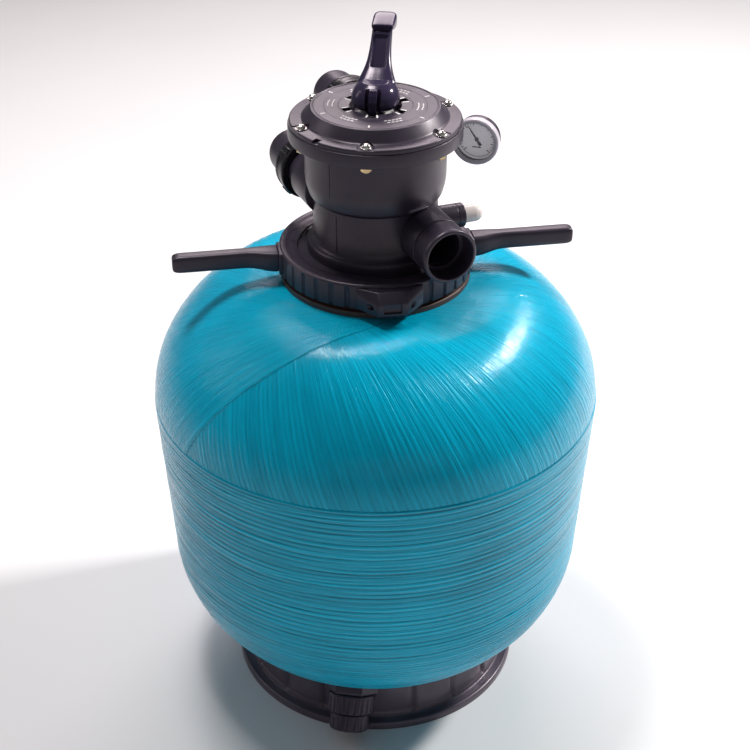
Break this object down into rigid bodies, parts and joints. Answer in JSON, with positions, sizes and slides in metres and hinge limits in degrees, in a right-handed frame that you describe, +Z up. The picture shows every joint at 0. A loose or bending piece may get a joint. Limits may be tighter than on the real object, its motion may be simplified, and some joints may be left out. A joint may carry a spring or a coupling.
{
  "type": "sand filter tank",
  "caption": "Wound blue pool sand filter tank on a round foot, with a clamped top-mount multiport valve, pressure gauge, pipe unions and a bottom drain.",
  "frame": {"origin": "on the floor under the tank's vertical axis", "axes": "+Z up along the tank's axis, -Y towards the front (selector pointer, collar lug and drain side), +X to the right"},
  "size_m": [0.527, 0.527, 0.8299],
  "materials": {
    "laminate": "wound glass fibre under a glossy cyan-blue resin",
    "base_plastic": "moulded black plastic, satin",
    "neck_plastic": "moulded brown-black plastic",
    "black_plastic": "moulded charcoal plastic, fine satin",
    "lever_plastic": "polished black plastic",
    "bolt_steel": "polished stainless steel",
    "nut_brass": "bright brass",
    "seal_rubber": "black rubber",
    "inner_plastic": "white PVC",
    "rotor_plastic": "grey moulded plastic",
    "dial_face": "printed white dial",
    "clear_window": "clear moulded plastic"
  },
  "bodies": {
    "tank": {"tank_shell": "laminate", "tank_base": "base_plastic", "neck_flange": "neck_plastic", "neck_o_ring": "seal_rubber", "valve_body": "black_plastic", "valve_cover": "black_plastic", "cover_o_ring": "seal_rubber", "lever_wear_ring": "inner_plastic", "spider_gasket": "seal_rubber", "return_adapter": "black_plastic", "pump_tailpiece": "black_plastic", "waste_tailpiece": "black_plastic", "sight_glass_lens": "clear_window", "sight_glass_nut": "black_plastic", "gauge_case": "black_plastic", "gauge_bezel": "black_plastic", "gauge_dial": "dial_face", "gauge_lens": "clear_window", "gauge_stem": "nut_brass", "drain_spigot": "black_plastic", "drain_screen": "inner_plastic", "standpipe": "inner_plastic", "lateral_hub": "rotor_plastic", "top_diffuser": "inner_plastic", "lateral_1": "inner_plastic", "lateral_2": "inner_plastic", "lateral_3": "inner_plastic", "lateral_4": "inner_plastic", "lateral_5": "inner_plastic", "lateral_6": "inner_plastic", "cover_bolt_1": "bolt_steel", "cover_bolt_2": "bolt_steel", "cover_bolt_3": "bolt_steel", "cover_bolt_4": "bolt_steel", "cover_bolt_5": "bolt_steel", "cover_bolt_6": "bolt_steel", "cover_nut_1": "nut_brass", "cover_nut_2": "nut_brass", "cover_nut_3": "nut_brass", "cover_nut_5": "nut_brass", "cover_nut_6": "nut_brass"},
    "collar_thread": {"collar_slip_ring": "inner_plastic"},
    "collar": {"locking_collar": "black_plastic", "collar_handle_left": "black_plastic", "collar_handle_right": "black_plastic"},
    "selector": {"spring_washer": "bolt_steel", "rotor_spring": "bolt_steel"},
    "rotor": {"rotor": "rotor_plastic", "stem_o_ring": "seal_rubber", "lever_pin": "bolt_steel"},
    "lever": {"control_lever": "lever_plastic"},
    "drain_nut_thread": {"drain_nut_gasket": "seal_rubber"},
    "drain_nut": {"drain_nut": "black_plastic"},
    "drain_cap_thread": {"drain_cap_gasket": "seal_rubber"},
    "drain_cap": {"drain_cap": "black_plastic"},
    "pump_nut": {"pump_union_nut": "black_plastic"},
    "waste_nut": {"waste_union_nut": "black_plastic"},
    "needle": {"gauge_needle": "seal_rubber"}
  },
  "joints": [
    {"name": "collar_lift", "type": "slide", "parent": "tank", "child": "collar_thread", "axis": [0, 0, 1], "range_m": [0, 0.0021]},
    {"name": "collar_turn", "type": "hinge", "parent": "collar_thread", "child": "collar", "pos_m": [0, 0, 0.57], "axis": [0, 0, 1], "range_deg": [0, 90]},
    {"name": "selector_turn", "type": "hinge", "parent": "tank", "child": "selector", "pos_m": [0, 0, 0.735], "axis": [0, 0, 1], "continuous": true},
    {"name": "rotor_lift", "type": "slide", "parent": "selector", "child": "rotor", "axis": [0, 0, 1], "range_m": [0, 0.0068], "deforming": ["rotor_spring"]},
    {"name": "lever_tilt", "type": "hinge", "parent": "rotor", "child": "lever", "pos_m": [0, 0, 0.76], "axis": [-0.9914, 0.1305, 0], "range_deg": [0, 36], "stiffness_Nm_per_rad": 1.5, "springref_deg": -17.19},
    {"name": "drain_nut_back_off", "type": "slide", "parent": "tank", "child": "drain_nut_thread", "axis": [-0.0923, -0.5515, -0.829], "range_m": [0, 0.0031]},
    {"name": "drain_nut_turn", "type": "hinge", "parent": "drain_nut_thread", "child": "drain_nut", "pos_m": [-0.03326, -0.19874, 0.0185], "axis": [-0.0923, -0.5515, -0.829], "range_deg": [0, 270]},
    {"name": "drain_cap_back_off", "type": "slide", "parent": "drain_nut", "child": "drain_cap_thread", "axis": [-0.0923, -0.5515, -0.829], "range_m": [0, 0.0031]},
    {"name": "drain_cap_turn", "type": "hinge", "parent": "drain_cap_thread", "child": "drain_cap", "pos_m": [-0.03326, -0.19874, 0.0185], "axis": [-0.0923, -0.5515, -0.829], "range_deg": [0, 270]},
    {"name": "pump_nut_turn", "type": "hinge", "parent": "tank", "child": "pump_nut", "pos_m": [-0.08463, 0.07452, 0.6525], "axis": [-0.4067, 0.9135, 0], "continuous": true},
    {"name": "waste_nut_turn", "type": "hinge", "parent": "tank", "child": "waste_nut", "pos_m": [-0.03421, 0.14568, 0.6985], "axis": [-0.4067, 0.9135, 0], "continuous": true},
    {"name": "gauge_needle_swing", "type": "hinge", "parent": "tank", "child": "needle", "pos_m": [0.1118, 0.026, 0.7], "axis": [-0.309, -0.9511, 0], "range_deg": [-170, 100], "stiffness_Nm_per_rad": 0.002}
  ],
  "couplings": [
    {"joint": "collar_lift", "follows": "collar_turn", "m_per_rad": 0.0012732},
    {"joint": "rotor_lift", "follows": "lever_tilt", "m_per_rad": 0.0107},
    {"joint": "drain_nut_back_off", "follows": "drain_nut_turn", "m_per_rad": 0.00063662},
    {"joint": "drain_cap_back_off", "follows": "drain_cap_turn", "m_per_rad": 0.00063662}
  ]
}
